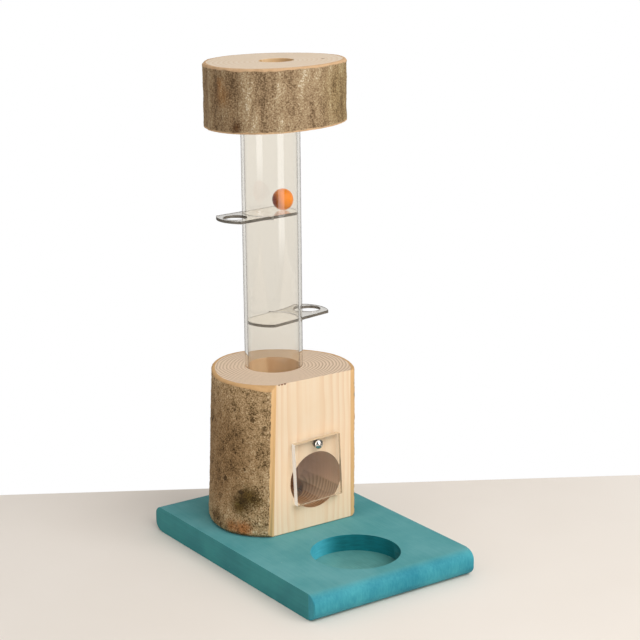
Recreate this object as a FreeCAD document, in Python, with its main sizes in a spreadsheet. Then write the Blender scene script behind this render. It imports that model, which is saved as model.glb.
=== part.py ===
import FreeCAD, Part
import math
import os
import Sketcher
from FreeCAD import Placement, Rotation, Vector

# A parrot foraging toy: a treat tower on a board. Millimetres, +Z up, the front faces -Y.
# The origin is at the middle of the board's underside.

doc = FreeCAD.newDocument("ForagingToy")
# Driving dimensions, in millimetres and degrees
SIZES = {
    # Board
    "board_width": 194,  # board across X
    "board_depth": 300,  # board along Y
    "board_thickness": 27,  # board height
    "board_corner": 4.5,  # radius of the board's upright corners
    "board_end_round": 9.5,  # rounding over of the two sawn ends
    "dish_radius": 45,  # treat dish sunk in the board
    "dish_depth": 17.5,  # depth of the dish
    "dish_y": -81.5,  # dish centre on Y
    "bit_mark_diameter": 3,  # pit that the boring bit's point leaves in the dish
    "bit_mark_depth": 1.5,  # depth of that pit
    # Stump
    "stump_height": 160,  # log height above the board
    "stump_top_radius": 73.1,  # mean radius over the bark at the top
    "stump_top_x": 1,  # centre of the top outline
    "stump_top_y": 49,  # centre of the top outline
    "stump_foot_radius": 75.9,  # mean radius over the bark at the foot
    "stump_foot_x": -2,  # centre of the foot outline
    "stump_foot_y": 50.5,  # centre of the foot outline
    "stump_oval": 2.6,  # two-lobed part of the outline
    "stump_oval_turn": 130,  # direction of its first lobe, degrees
    "stump_trefoil": 1.3,  # three-lobed part of the outline
    "stump_trefoil_turn": -39,  # direction of its first lobe, degrees
    "stump_square": 1.5,  # four-lobed part of the outline
    "stump_square_turn": 15,  # direction of its first lobe, degrees
    "stump_flat_y": -2.5,  # plane of the planed front
    "bark_thickness": 4,  # bark round the log and the block
    "stump_bevel": 3,  # bevel on the bark's upper arris
    "window_radius": 30.25,  # round window in the flat
    "window_x": 6.3,  # window centre on X
    "window_rise": 51.5,  # window centre above the board
    "chamber_floor_rise": 19,  # treat chamber's floor above the board
    # Tube
    "tube_diameter": 60,  # outside of the clear tube
    "tube_wall": 3,  # wall of the tube
    "tube_length": 350,  # length of the tube
    "tube_x": 0,  # tube axis
    "tube_y": 61.5,  # tube axis
    "tube_seat_depth": 54.5,  # tube's end below the log's top
    "tube_fit": 0.1,  # radial gap of the tube in its two seats
    "slot_offset": 17.3,  # saw slots' inner edge from the tube axis
    "slot_gap": 0.4,  # height left over a slide in its slot
    # Slides
    "slide_width": 41,  # width of both slides
    "slide_thickness": 3,  # thickness of both slides
    "slide_fit": 0.2,  # gap between a slide's inner end and the tube's inside
    "slide_nose_radius": 30,  # rounded outer end
    "finger_hole_diameter": 24,  # hole for the beak or finger
    "finger_hole_inset": 16,  # hole centre from the outer tip
    "upper_slide_reach": 63,  # outer tip from the tube axis
    "upper_slide_rise": 213,  # underside above the tube's lower end
    "upper_slide_turn": 186,  # direction it draws out, degrees from +X
    "lower_slide_reach": 69,  # outer tip from the tube axis
    "lower_slide_rise": 101.3,  # underside above the tube's lower end
    "lower_slide_turn": 11.5,  # direction it draws out, degrees from +X
    # Top block
    "block_height": 62.5,  # height of the top block at its centre
    "block_radius": 72,  # mean radius over the bark
    "block_x": 4.8,  # centre of the outline
    "block_y": 62.4,  # centre of the outline
    "block_trefoil": 1.97,  # three-lobed part of the outline
    "block_trefoil_turn": 100,  # direction of its first lobe, degrees
    "block_top_slope_x": 0.019,  # rise of the upper saw cut along X
    "block_top_slope_y": -0.010,  # rise of the upper saw cut along Y
    "block_foot_slope_x": 0.031,  # rise of the lower saw cut along X
    "block_foot_slope_y": -0.019,  # rise of the lower saw cut along Y
    "block_bevel": 2,  # bevel on the bark's arrises
    "block_seat_depth": 45,  # tube's end above the block's underside
    "fill_hole_radius": 17.5,  # hole that treats are dropped in
    "fill_hole_x": 8,  # fill hole centre
    "fill_hole_y": 61,  # fill hole centre
    # Treat
    "ball_diameter": 22,  # treat ball
    "ball_wall_gap": 2.5,  # gap between the ball and the tube's inside
    "ball_turn": -4,  # direction of the ball from the tube axis, degrees from +X
    # Flap and its screw
    "flap_width": 56,  # flap across X
    "flap_height": 66.5,  # flap height
    "flap_thickness": 6,  # flap sheet
    "flap_corner": 1.2,  # flap's corner radius
    "flap_shift": -1,  # flap's middle from the screw along X
    "flap_overhang": 5.5,  # screw below the flap's top edge
    "flap_lean": 2.4,  # angle that the flap hangs off plumb, degrees
    "pivot_x": 6,  # flap screw on X
    "pivot_rise": 91.5,  # flap screw above the board
    "pivot_diameter": 4,  # shank of the flap screw
    "pivot_fit": 0.08,  # radial gap of the flap on the shank
    "pivot_bite": 16,  # flap screw's length in the wood
    "pivot_end_play": 0.2,  # gap between the flap and the screw's head
    "head_diameter": 9.8,  # domed head of the flap screw
    "head_height": 3.6,  # height of the domed head
    "head_edge": 0.8,  # straight edge below the dome
    "recess_width": 1.1,  # arm width of the cross recess
    "recess_span": 4.6,  # arm length of the cross recess
    "recess_depth": 1.6,  # depth of the cross recess
    "washer_thickness": 1.5,  # spacer behind the flap
    "washer_diameter": 8.6,  # outside of the spacer
    # Screws through the board
    "base_screw_diameter": 4.5,  # shank of the wood screws
    "base_screw_head": 9,  # countersunk head
    "base_screw_length": 44,  # length over all
    "base_screw_point": 6,  # tapered point
    "base_screw_sink": 0.4,  # head below the board's underside
    "base_screw_fit": 0.25,  # radial gap of the shank in the board
    "base_screw_x": 44,  # half the spacing on X
    "base_screw_front_y": 24,  # front pair on Y
    "base_screw_back_y": 92,  # back pair on Y
}

sheet = doc.addObject("Spreadsheet::Sheet", "Sizes")
for row, (alias, number) in enumerate(SIZES.items(), 1):
    sheet.set(f"A{row}", alias.replace("_", " "))
    sheet.set(f"B{row}", str(number))
    sheet.setAlias(f"B{row}", alias)
doc.recompute()


def value(alias):
    """The number that a sheet cell holds now."""
    return float(sheet.get(alias))


def bind(thing, **expressions):
    """Bind properties to sheet formulas; a double underscore in a name stands for a dot."""
    for name, formula in expressions.items():
        thing.setExpression(name.replace("__", "."), formula)


# Heights that follow from the sizes, as formulas for expressions
STUMP_TOP_Z = "Sizes.board_thickness + Sizes.stump_height"
TUBE_FOOT_Z = f"{STUMP_TOP_Z} - Sizes.tube_seat_depth"
TUBE_TOP_Z = f"{TUBE_FOOT_Z} + Sizes.tube_length"
BLOCK_FOOT_Z = f"{TUBE_TOP_Z} - Sizes.block_seat_depth"
UPPER_SLIDE_Z = f"{TUBE_FOOT_Z} + Sizes.upper_slide_rise"
LOWER_SLIDE_Z = f"{TUBE_FOOT_Z} + Sizes.lower_slide_rise"
PIVOT_Z = "Sizes.board_thickness + Sizes.pivot_rise"

# How far the ball lies from the tube's axis
BALL_OFFSET = (
    "(Sizes.tube_diameter / 2 - Sizes.tube_wall - Sizes.ball_diameter / 2 - Sizes.ball_wall_gap)"
)


def new_body(name):
    """A PartDesign body whose label is its file name."""
    body = doc.addObject("PartDesign::Body", name)
    body.Label = name
    return body


def new_sketch(body, name, role):
    """A sketch on one of the body's own origin planes."""
    plane = next(f for f in body.Origin.OriginFeatures if f.Role == role)
    sketch = body.newObject("Sketcher::SketchObject", name)
    sketch.AttachmentSupport = [(plane, "")]
    sketch.MapMode = "FlatFace"
    return sketch


def dimension(sketch, name, kind, *arguments, formula):
    """A named driving constraint, bound to a formula of the sheet."""
    index = sketch.addConstraint(Sketcher.Constraint(kind, *arguments))
    sketch.renameConstraint(index, name)
    sketch.setExpression(f"Constraints.{name}", formula)


def relate(sketch, kind, *arguments):
    """A geometric constraint with no number."""
    sketch.addConstraint(Sketcher.Constraint(kind, *arguments))


def add_line(sketch, start, end):
    return sketch.addGeometry(Part.LineSegment(Vector(*start, 0), Vector(*end, 0)))


def add_circle(sketch, name, x, y, radius, x_formula, y_formula, radius_formula):
    """A circle placed and sized from the sheet; x, y and radius are its first guess."""
    circle = Part.Circle(Vector(x, y, 0), Vector(0, 0, 1), radius)
    index = sketch.addGeometry(circle)
    dimension(sketch, f"{name}_radius", "Radius", index, radius, formula=radius_formula)
    for axis, kind, place, formula in (
        ("x", "DistanceX", x, x_formula),
        ("y", "DistanceY", y, y_formula),
    ):
        if formula == "0":
            side = -2 if axis == "x" else -1
            relate(sketch, "PointOnObject", index, 3, side)
        else:
            dimension(sketch, f"{name}_{axis}", kind, -1, 1, index, 3, place, formula=formula)
    return index


def rectangle(sketch, name, left, bottom, right, top):
    """An upright rectangle; each side is a pair of a first guess and its formula."""
    corners = (
        (left[0], bottom[0]),
        (right[0], bottom[0]),
        (right[0], top[0]),
        (left[0], top[0]),
    )
    sides = [add_line(sketch, corners[i], corners[(i + 1) % 4]) for i in range(4)]
    for i in range(4):
        relate(sketch, "Coincident", sides[i], 2, sides[(i + 1) % 4], 1)
        relate(sketch, "Horizontal" if i % 2 == 0 else "Vertical", sides[i])
    for label, kind, side, place in (
        ("left", "DistanceX", 3, left),
        ("bottom", "DistanceY", 0, bottom),
        ("right", "DistanceX", 1, right),
        ("top", "DistanceY", 2, top),
    ):
        if place[1] == "0":
            axis = -2 if kind == "DistanceX" else -1
            relate(sketch, "PointOnObject", sides[side], 1, axis)
        else:
            dimension(
                sketch, f"{name}_{label}", kind, -1, 1, sides[side], 1, place[0], formula=place[1]
            )


def rounded_rectangle(sketch, name, width, height, radius, centre=(("0", 0.0), ("0", 0.0))):
    """A rectangle with four equal corner arcs; each argument is a formula and its first guess."""
    half_w = width[1] / 2
    half_h = height[1] / 2
    r = radius[1]
    cx = centre[0][1]
    cy = centre[1][1]
    lines = [
        add_line(sketch, (cx - half_w + r, cy - half_h), (cx + half_w - r, cy - half_h)),
        add_line(sketch, (cx + half_w, cy - half_h + r), (cx + half_w, cy + half_h - r)),
        add_line(sketch, (cx + half_w - r, cy + half_h), (cx - half_w + r, cy + half_h)),
        add_line(sketch, (cx - half_w, cy + half_h - r), (cx - half_w, cy - half_h + r)),
    ]
    arcs = []
    for i, (side_x, side_y) in enumerate(((1, -1), (1, 1), (-1, 1), (-1, -1))):
        middle = Vector(cx + side_x * (half_w - r), cy + side_y * (half_h - r), 0)
        start = math.radians(90 * i - 90)
        arc = Part.ArcOfCircle(Part.Circle(middle, Vector(0, 0, 1), r), start, start + math.pi / 2)
        arcs.append(sketch.addGeometry(arc))
    for i in range(4):
        relate(sketch, "Tangent", lines[i], 2, arcs[i], 1)
        relate(sketch, "Tangent", arcs[i], 2, lines[(i + 1) % 4], 1)
        relate(sketch, "Horizontal" if i % 2 == 0 else "Vertical", lines[i])
    for arc in arcs[1:]:
        relate(sketch, "Equal", arcs[0], arc)
    dimension(sketch, f"{name}_radius", "Radius", arcs[0], r, formula=radius[0])
    dimension(
        sketch, f"{name}_left", "DistanceX", lines[3], 1, -1, 1, half_w - cx,
        formula=f"({width[0]}) / 2 - ({centre[0][0]})",
    )
    dimension(
        sketch, f"{name}_right", "DistanceX", -1, 1, lines[1], 1, half_w + cx,
        formula=f"({width[0]}) / 2 + ({centre[0][0]})",
    )
    dimension(
        sketch, f"{name}_bottom", "DistanceY", lines[0], 1, -1, 1, half_h - cy,
        formula=f"({height[0]}) / 2 - ({centre[1][0]})",
    )
    dimension(
        sketch, f"{name}_top", "DistanceY", -1, 1, lines[2], 1, half_h + cy,
        formula=f"({height[0]}) / 2 + ({centre[1][0]})",
    )


def pad(body, sketch, name, length, reversed_way=False, both_ways=False):
    """A pad of the sketch, its length bound to a formula."""
    feature = body.newObject("PartDesign::Pad", name)
    feature.Profile = sketch
    feature.Midplane = both_ways
    feature.Reversed = reversed_way
    bind(feature, Length=length)
    return feature


def pocket(body, sketch, name, length=None, reversed_way=False, both_ways=False):
    """A pocket of the sketch, to a bound depth or right through."""
    feature = body.newObject("PartDesign::Pocket", name)
    feature.Profile = sketch
    feature.Midplane = both_ways
    feature.Reversed = reversed_way
    if length is None:
        feature.Type = "ThroughAll"
    else:
        bind(feature, Length=length)
    return feature


def must_cut(body, feature):
    """Stop where a cut has taken nothing away."""
    before = feature.BaseFeature.Shape.Volume
    doc.recompute()
    if feature.Shape.Volume > before - 0.01:
        raise RuntimeError(f"{body.Label}: {feature.Name} cuts nothing")


def primitive(kind, name, **expressions):
    """A Part primitive with its sizes and place bound to the sheet."""
    thing = doc.addObject(f"Part::{kind}", name)
    bind(thing, **expressions)
    return thing


def base_screw_places():
    """Formulas for the four wood screws' places in plan, with a name for each."""
    for x_name, x in (("left", "-Sizes.base_screw_x"), ("right", "Sizes.base_screw_x")):
        for y_name, y in (
            ("front", "Sizes.base_screw_front_y"),
            ("back", "Sizes.base_screw_back_y"),
        ):
            yield f"{x_name}_{y_name}", x, y


def make_base_board():
    """Softwood board: rounded ends, the bored treat dish and four countersunk screw holes."""
    body = new_body("base_board")
    plan = new_sketch(body, "board_plan", "XY_Plane")
    width = ("Sizes.board_width", value("board_width"))
    depth = ("Sizes.board_depth", value("board_depth"))
    corner = ("Sizes.board_corner", value("board_corner"))
    rounded_rectangle(plan, "plan", width, depth, corner)
    pad(body, plan, "board_blank", "Sizes.board_thickness")
    doc.recompute()

    # The ends are rounded over: everything outside the rounded side outline goes.
    side = new_sketch(body, "board_side", "YZ_Plane")
    thickness = ("Sizes.board_thickness", value("board_thickness"))
    end_round = ("Sizes.board_end_round", value("board_end_round"))
    middle = (("0", 0.0), ("Sizes.board_thickness / 2", value("board_thickness") / 2))
    rounded_rectangle(side, "side", depth, thickness, end_round, middle)
    reach = value("board_depth")
    rise = value("board_thickness")
    rectangle(
        side,
        "waste",
        (-reach, "-Sizes.board_depth"),
        (-rise, "-Sizes.board_thickness"),
        (reach, "Sizes.board_depth"),
        (2 * rise, "Sizes.board_thickness * 2"),
    )
    must_cut(body, pocket(body, side, "rounded_ends", "Sizes.board_width * 2", both_ways=True))

    dish = new_sketch(body, "dish_plan", "XY_Plane")
    bind(dish, AttachmentOffset__Base__z="Sizes.board_thickness")
    dish_y = value("dish_y")
    dish_radius = value("dish_radius")
    add_circle(
        dish, "dish", 0, dish_y, dish_radius, "0", "Sizes.dish_y", "Sizes.dish_radius"
    )
    must_cut(body, pocket(body, dish, "dish", "Sizes.dish_depth"))
    bit_mark = body.newObject("PartDesign::SubtractiveCone", "bit_mark")
    bit_mark.AttachmentSupport = plan.AttachmentSupport
    bit_mark.MapMode = "FlatFace"
    bind(
        bit_mark,
        Radius1="0",
        Radius2="Sizes.bit_mark_diameter / 2",
        Height="Sizes.bit_mark_depth",
        AttachmentOffset__Base__y="Sizes.dish_y",
        AttachmentOffset__Base__z="Sizes.board_thickness - Sizes.dish_depth"
        " - Sizes.bit_mark_depth",
    )
    must_cut(body, bit_mark)

    # Countersunk holes from below: a clear hole for the shank and a cone for the head.
    holes = new_sketch(body, "screw_hole_plan", "XY_Plane")
    shank = "Sizes.base_screw_diameter / 2 + Sizes.base_screw_fit"
    guess = value("base_screw_diameter") / 2 + value("base_screw_fit")
    for name, x, y in base_screw_places():
        x_guess = value("base_screw_x") * (-1 if x.startswith("-") else 1)
        y_guess = value(y.split(".")[1])
        add_circle(holes, name, x_guess, y_guess, guess, x, y, shank)
    must_cut(body, pocket(body, holes, "shank_holes", reversed_way=True))
    for name, x, y in base_screw_places():
        cone = body.newObject("PartDesign::SubtractiveCone", f"head_seat_{name}")
        cone.AttachmentSupport = holes.AttachmentSupport
        cone.MapMode = "FlatFace"
        bind(
            cone,
            Radius1="Sizes.base_screw_head / 2 + Sizes.base_screw_sink",
            Radius2="Sizes.base_screw_diameter / 2",
            Height="Radius1 - Radius2",
            AttachmentOffset__Base__x=x,
            AttachmentOffset__Base__y=y,
        )
        must_cut(body, cone)
    return body


def outline(middle_x, middle_y, radius, lobes, height):
    """A closed natural outline: a circle with a few broad lobes, on a height or a sloping plane."""
    points = []
    steps = 36
    for i in range(steps):
        angle = 2 * math.pi * i / steps
        reach = radius + sum(
            amount * math.cos(count * (angle - math.radians(turn)))
            for count, amount, turn in lobes
        )
        x = middle_x + reach * math.cos(angle)
        y = middle_y + reach * math.sin(angle)
        points.append(Vector(x, y, height(x, y)))
    curve = Part.BSplineCurve()
    curve.interpolate(Points=points, PeriodicFlag=True)
    return Part.Wire([curve.toShape()])


def stump_outline(share, inset):
    """The log's outline at a share of its height, set in from the bark's face."""
    lobes = [
        (2, value("stump_oval"), value("stump_oval_turn")),
        (3, value("stump_trefoil"), value("stump_trefoil_turn")),
        (4, value("stump_square"), value("stump_square_turn")),
    ]

    def between(foot, top):
        return value(foot) + (value(top) - value(foot)) * share

    z = value("board_thickness") + value("stump_height") * share
    return outline(
        between("stump_foot_x", "stump_top_x"),
        between("stump_foot_y", "stump_top_y"),
        between("stump_foot_radius", "stump_top_radius") - inset,
        lobes,
        lambda x, y: z,
    )


def block_outline(at_top, rise, inset):
    """The top block's outline on one of its two saw cuts, moved by a rise and set in."""
    end = "top" if at_top else "foot"
    slope_x = value(f"block_{end}_slope_x")
    slope_y = value(f"block_{end}_slope_y")
    middle_x = value("block_x")
    middle_y = value("block_y")
    foot_z = value("board_thickness") + value("stump_height") - value("tube_seat_depth")
    foot_z += value("tube_length") - value("block_seat_depth")
    z = foot_z + (value("block_height") if at_top else 0) + rise
    lobes = [(3, value("block_trefoil"), value("block_trefoil_turn"))]
    return outline(
        middle_x,
        middle_y,
        value("block_radius") - inset,
        lobes,
        lambda x, y: z + slope_x * (x - middle_x) + slope_y * (y - middle_y),
    )


def natural_solid(name, wires):
    """A solid ruled through natural outlines, kept as one shape of the document."""
    thing = doc.addObject("Part::Feature", name)
    thing.Shape = Part.makeLoft(wires, True, True)
    thing.Placement = Placement()
    return thing


def cut(name, base, tool):
    thing = doc.addObject("Part::Cut", name)
    thing.Base = base
    thing.Tool = tool
    thing.Label = name
    return thing


def make_stump():
    """The log: barked round the back and sides, planed flat in front, bored for tube and window."""
    bark = value("bark_thickness")
    bevel = value("stump_bevel")
    below_bevel = 1 - bevel / value("stump_height")
    wood_blank = natural_solid("stump_wood_blank", [stump_outline(0, bark), stump_outline(1, bark)])
    bark_blank = natural_solid(
        "stump_bark_blank",
        [stump_outline(0, 0), stump_outline(below_bevel, 0), stump_outline(1, bevel)],
    )
    planed_off = primitive(
        "Box",
        "planed_off",
        Length="Sizes.stump_foot_radius * 4",
        Width="Sizes.stump_foot_radius * 2",
        Height="Sizes.stump_height * 2",
        Placement__Base__x="-Sizes.stump_foot_radius * 2",
        Placement__Base__y="Sizes.stump_flat_y - Sizes.stump_foot_radius * 2",
        Placement__Base__z="Sizes.board_thickness - Sizes.stump_height / 2",
    )

    seat = primitive(
        "Cylinder",
        "tube_seat",
        Radius="Sizes.tube_diameter / 2 + Sizes.tube_fit",
        Height="Sizes.tube_seat_depth + 1",
        Placement__Base__x="Sizes.tube_x",
        Placement__Base__y="Sizes.tube_y",
        Placement__Base__z=TUBE_FOOT_Z,
    )
    feed = primitive(
        "Cylinder",
        "feed_bore",
        Radius="Sizes.tube_diameter / 2 - Sizes.tube_wall",
        Height="Sizes.stump_height - Sizes.chamber_floor_rise",
        Placement__Base__x="Sizes.tube_x",
        Placement__Base__y="Sizes.tube_y",
        Placement__Base__z="Sizes.board_thickness + Sizes.chamber_floor_rise",
    )
    window = primitive(
        "Cylinder",
        "window_bore",
        Radius="Sizes.window_radius",
        Height="Sizes.tube_y - Sizes.stump_flat_y + 1",
        Placement__Base__x="Sizes.window_x",
        Placement__Base__y="Sizes.tube_y",
        Placement__Base__z="Sizes.board_thickness + Sizes.window_rise",
    )
    window.Placement.Rotation = Rotation(Vector(1, 0, 0), 90)
    pivot_hole = primitive(
        "Cylinder",
        "pivot_hole",
        Radius="Sizes.pivot_diameter / 2",
        Height="Sizes.pivot_bite + 1",
        Placement__Base__x="Sizes.pivot_x",
        Placement__Base__y="Sizes.stump_flat_y + Sizes.pivot_bite",
        Placement__Base__z=PIVOT_Z,
    )
    pivot_hole.Placement.Rotation = Rotation(Vector(1, 0, 0), 90)
    pilots = []
    for name, x, y in base_screw_places():
        pilots.append(
            primitive(
                "Cylinder",
                f"pilot_{name}",
                Radius="Sizes.base_screw_diameter / 2",
                Height="Sizes.base_screw_length + Sizes.base_screw_sink",
                Placement__Base__x=x,
                Placement__Base__y=y,
            )
        )
    bores = doc.addObject("Part::MultiFuse", "stump_bores")
    bores.Shapes = [seat, feed, window, pivot_hole] + pilots

    wood = cut("stump_wood", cut("stump_wood_planed", wood_blank, planed_off), bores)
    bark_ring = cut("stump_bark_ring", bark_blank, wood_blank)
    return [wood, cut("stump_bark", bark_ring, planed_off)]


def make_block():
    """The top block: a barked slice of log, seated on the tube and bored for treats."""
    bark = value("bark_thickness")
    bevel = value("block_bevel")
    wood_blank = natural_solid(
        "block_wood_blank", [block_outline(False, 0, bark), block_outline(True, 0, bark)]
    )
    bark_blank = natural_solid(
        "block_bark_blank",
        [
            block_outline(False, 0, bevel),
            block_outline(False, bevel, 0),
            block_outline(True, -bevel, 0),
            block_outline(True, 0, bevel),
        ],
    )
    seat = primitive(
        "Cylinder",
        "block_seat",
        Radius="Sizes.tube_diameter / 2 + Sizes.tube_fit",
        Height="Sizes.block_seat_depth * 2",
        Placement__Base__x="Sizes.tube_x",
        Placement__Base__y="Sizes.tube_y",
        Placement__Base__z=f"{TUBE_TOP_Z} - Sizes.block_seat_depth * 2",
    )
    fill = primitive(
        "Cylinder",
        "fill_hole",
        Radius="Sizes.fill_hole_radius",
        Height="Sizes.block_height * 3",
        Placement__Base__x="Sizes.fill_hole_x",
        Placement__Base__y="Sizes.fill_hole_y",
        Placement__Base__z=f"{BLOCK_FOOT_Z} - Sizes.block_height",
    )
    bores = doc.addObject("Part::MultiFuse", "block_bores")
    bores.Shapes = [seat, fill]
    return [cut("block_wood", wood_blank, bores), cut("block_bark", bark_blank, wood_blank)]


def make_tube():
    """Clear acrylic tube with one straight saw slot from each side, in which the slides lie."""
    body = new_body("tube")
    section = new_sketch(body, "tube_section", "XY_Plane")
    outer = value("tube_diameter") / 2
    inner = outer - value("tube_wall")
    add_circle(section, "outside", 0, 0, outer, "0", "0", "Sizes.tube_diameter / 2")
    add_circle(section, "inside", 0, 0, inner, "0", "0", "Sizes.tube_diameter / 2 - Sizes.tube_wall")
    pad(body, section, "tube_length", "Sizes.tube_length")
    doc.recompute()
    for name in ("upper", "lower"):
        kerf = new_sketch(body, f"{name}_slot_plan", "XY_Plane")
        kerf.AttachmentOffset = Placement(Vector(), Rotation(Vector(0, 0, 1), 1))
        bind(
            kerf,
            AttachmentOffset__Base__z=f"Sizes.{name}_slide_rise",
            AttachmentOffset__Rotation__Angle=f"Sizes.{name}_slide_turn",
        )
        rectangle(
            kerf,
            "kerf",
            (value("slot_offset"), "Sizes.slot_offset"),
            (-2 * outer, "-Sizes.tube_diameter"),
            (2 * outer, "Sizes.tube_diameter"),
            (2 * outer, "Sizes.tube_diameter"),
        )
        slot = pocket(
            body, kerf, f"{name}_slot", "Sizes.slide_thickness + Sizes.slot_gap", reversed_way=True
        )
        must_cut(body, slot)
    bind(
        body,
        Placement__Base__x="Sizes.tube_x",
        Placement__Base__y="Sizes.tube_y",
        Placement__Base__z=TUBE_FOOT_Z,
    )
    return body


def make_slide(which, height):
    """Clear sheet slide: inner end to the tube's curve, rounded nose and a finger hole."""
    body = new_body(f"{which}_slide")
    sketch = new_sketch(body, f"{which}_slide_plan", "XY_Plane")
    half = value("slide_width") / 2
    inner = value("tube_diameter") / 2 - value("tube_wall") - value("slide_fit")
    nose = value("slide_nose_radius")
    reach = value(f"{which}_slide_reach")
    inner_end = -math.sqrt(inner * inner - half * half)
    nose_end = reach - nose + math.sqrt(nose * nose - half * half)
    near_side = add_line(sketch, (inner_end, -half), (nose_end, -half))
    far_side = add_line(sketch, (nose_end, half), (inner_end, half))
    nose_angle = math.asin(half / nose)
    inner_angle = math.asin(half / inner)
    nose_circle = Part.Circle(Vector(reach - nose, 0, 0), Vector(0, 0, 1), nose)
    nose_arc = sketch.addGeometry(Part.ArcOfCircle(nose_circle, -nose_angle, nose_angle))
    inner_circle = Part.Circle(Vector(), Vector(0, 0, 1), inner)
    inner_arc = sketch.addGeometry(
        Part.ArcOfCircle(inner_circle, math.pi - inner_angle, math.pi + inner_angle)
    )
    relate(sketch, "Coincident", near_side, 2, nose_arc, 1)
    relate(sketch, "Coincident", nose_arc, 2, far_side, 1)
    relate(sketch, "Coincident", far_side, 2, inner_arc, 1)
    relate(sketch, "Coincident", inner_arc, 2, near_side, 1)
    relate(sketch, "Horizontal", near_side)
    relate(sketch, "Horizontal", far_side)
    relate(sketch, "Coincident", inner_arc, 3, -1, 1)
    relate(sketch, "PointOnObject", nose_arc, 3, -1)
    dimension(sketch, "near_half", "DistanceY", near_side, 1, -1, 1, half,
              formula="Sizes.slide_width / 2")
    dimension(sketch, "far_half", "DistanceY", -1, 1, far_side, 1, half,
              formula="Sizes.slide_width / 2")
    dimension(sketch, "inner_radius", "Radius", inner_arc, inner,
              formula="Sizes.tube_diameter / 2 - Sizes.tube_wall - Sizes.slide_fit")
    dimension(sketch, "nose_radius", "Radius", nose_arc, nose, formula="Sizes.slide_nose_radius")
    dimension(sketch, "nose_centre", "DistanceX", -1, 1, nose_arc, 3, reach - nose,
              formula=f"Sizes.{which}_slide_reach - Sizes.slide_nose_radius")
    hole_x = reach - value("finger_hole_inset")
    add_circle(
        sketch, "hole", hole_x, 0, value("finger_hole_diameter") / 2,
        f"Sizes.{which}_slide_reach - Sizes.finger_hole_inset", "0",
        "Sizes.finger_hole_diameter / 2",
    )
    pad(body, sketch, f"{which}_slide_sheet", "Sizes.slide_thickness")
    body.Placement = Placement(Vector(), Rotation(Vector(0, 0, 1), 1))
    bind(
        body,
        Placement__Base__x="Sizes.tube_x",
        Placement__Base__y="Sizes.tube_y",
        Placement__Base__z=height,
        Placement__Rotation__Angle=f"Sizes.{which}_slide_turn",
    )
    return body


def make_treat_ball():
    """The treat ball, lying on the upper slide."""
    ball = primitive(
        "Sphere",
        "treat_ball",
        Radius="Sizes.ball_diameter / 2",
        Placement__Base__x=f"Sizes.tube_x + {BALL_OFFSET} * cos(Sizes.ball_turn)",
        Placement__Base__y=f"Sizes.tube_y + {BALL_OFFSET} * sin(Sizes.ball_turn)",
        Placement__Base__z=f"{UPPER_SLIDE_Z} + Sizes.slide_thickness + Sizes.ball_diameter / 2",
    )
    ball.Label = "treat_ball"
    return ball


def make_flap():
    """Clear acrylic flap that hangs on its screw and swings in front of the window."""
    body = new_body("flap")
    face = new_sketch(body, "flap_face", "XZ_Plane")
    width = ("Sizes.flap_width", value("flap_width"))
    height = ("Sizes.flap_height", value("flap_height"))
    corner = ("Sizes.flap_corner", value("flap_corner"))
    middle = (
        ("Sizes.flap_shift", value("flap_shift")),
        ("Sizes.flap_overhang - Sizes.flap_height / 2", value("flap_overhang") - height[1] / 2),
    )
    rounded_rectangle(face, "face", width, height, corner, middle)
    hole_radius = value("pivot_diameter") / 2 + value("pivot_fit")
    add_circle(
        face, "pivot", 0, 0, hole_radius, "0", "0", "Sizes.pivot_diameter / 2 + Sizes.pivot_fit"
    )
    pad(body, face, "flap_sheet", "Sizes.flap_thickness")
    body.Placement = Placement(Vector(), Rotation(Vector(0, -1, 0), 1))
    bind(
        body,
        Placement__Base__x="Sizes.pivot_x",
        Placement__Base__y="Sizes.stump_flat_y - Sizes.washer_thickness",
        Placement__Base__z=PIVOT_Z,
        Placement__Rotation__Angle="Sizes.flap_lean",
    )
    return body


def stand_on_flat(body, gap):
    """Turn a fastener so that its own +Z points out of the planed front at the pivot."""
    body.Placement = Placement(Vector(), Rotation(Vector(1, 0, 0), 90))
    bind(
        body,
        Placement__Base__x="Sizes.pivot_x",
        Placement__Base__y=f"Sizes.stump_flat_y - {gap}",
        Placement__Base__z=PIVOT_Z,
    )


def make_flap_washer():
    """Spacer that keeps the flap off the wood."""
    body = new_body("flap_washer")
    plan = new_sketch(body, "washer_plan", "XY_Plane")
    add_circle(
        plan, "outside", 0, 0, value("washer_diameter") / 2, "0", "0", "Sizes.washer_diameter / 2"
    )
    bore = value("pivot_diameter") / 2 + value("pivot_fit")
    add_circle(plan, "bore", 0, 0, bore, "0", "0", "Sizes.pivot_diameter / 2 + Sizes.pivot_fit")
    pad(body, plan, "washer_ring", "Sizes.washer_thickness")
    stand_on_flat(body, "0")
    return body


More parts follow.
